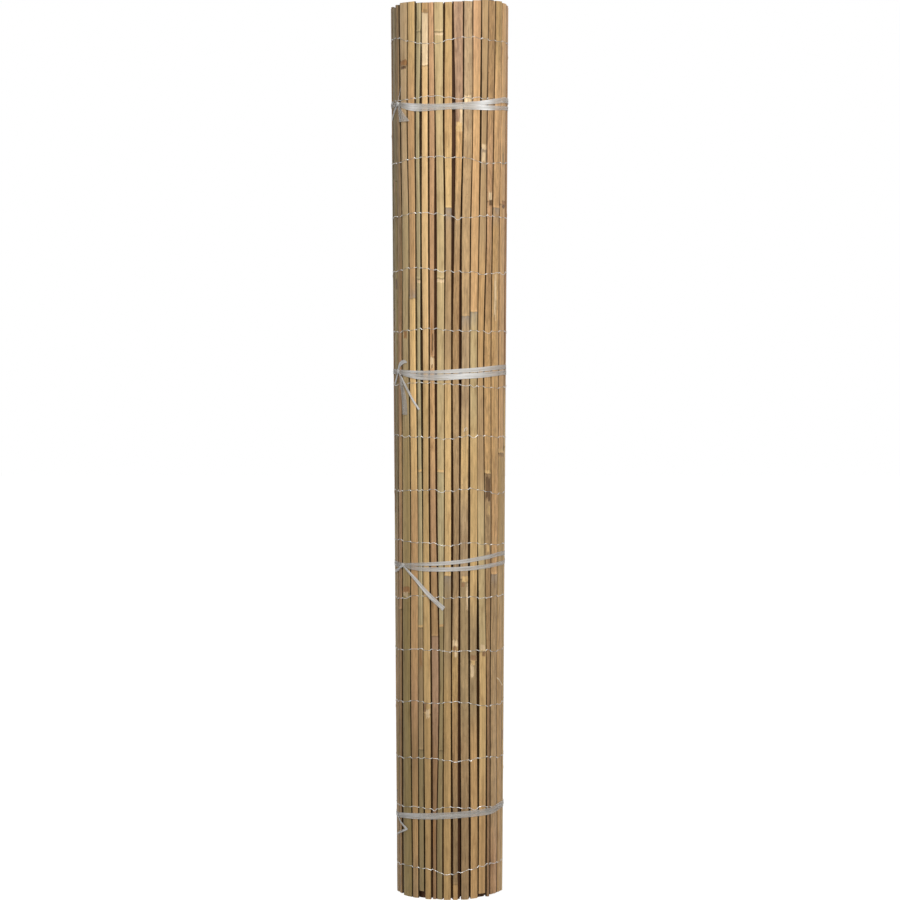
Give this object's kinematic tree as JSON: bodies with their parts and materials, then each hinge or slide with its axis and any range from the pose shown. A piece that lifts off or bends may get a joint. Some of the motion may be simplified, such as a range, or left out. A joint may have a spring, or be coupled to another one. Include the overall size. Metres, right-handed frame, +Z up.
{
  "type": "rolled bamboo screening mat",
  "caption": "Split-bamboo screening mat woven with thin wire, rolled up, tied with plastic tape and standing on its end; the roll narrows slightly towards its foot.",
  "frame": {"origin": "on the floor, at the middle of the roll's foot", "axes": "+Z up the roll's axis, front towards -Y, +X to the right seen from the front"},
  "size_m": [0.2013, 0.2049, 1.506],
  "materials": {
    "bamboo": "weathered natural bamboo skin, satin",
    "galvanised_wire": "dull galvanised",
    "tie_tape": "clear whitish film, glossy"
  },
  "bodies": {
    "root": {"bamboo_mat_roll": "bamboo", "weave_wire_01": "galvanised_wire", "weave_wire_02": "galvanised_wire", "weave_wire_03": "galvanised_wire", "weave_wire_04": "galvanised_wire", "weave_wire_05": "galvanised_wire", "weave_wire_06": "galvanised_wire", "weave_wire_07": "galvanised_wire", "weave_wire_08": "galvanised_wire", "weave_wire_09": "galvanised_wire", "weave_wire_10": "galvanised_wire", "weave_wire_11": "galvanised_wire", "weave_wire_12": "galvanised_wire", "weave_wire_13": "galvanised_wire", "weave_wire_14": "galvanised_wire", "weave_wire_15": "galvanised_wire", "weave_wire_16": "galvanised_wire", "tie_1": "tie_tape", "tie_2": "tie_tape", "tie_3": "tie_tape", "tie_4": "tie_tape"}
  },
  "joints": []
}
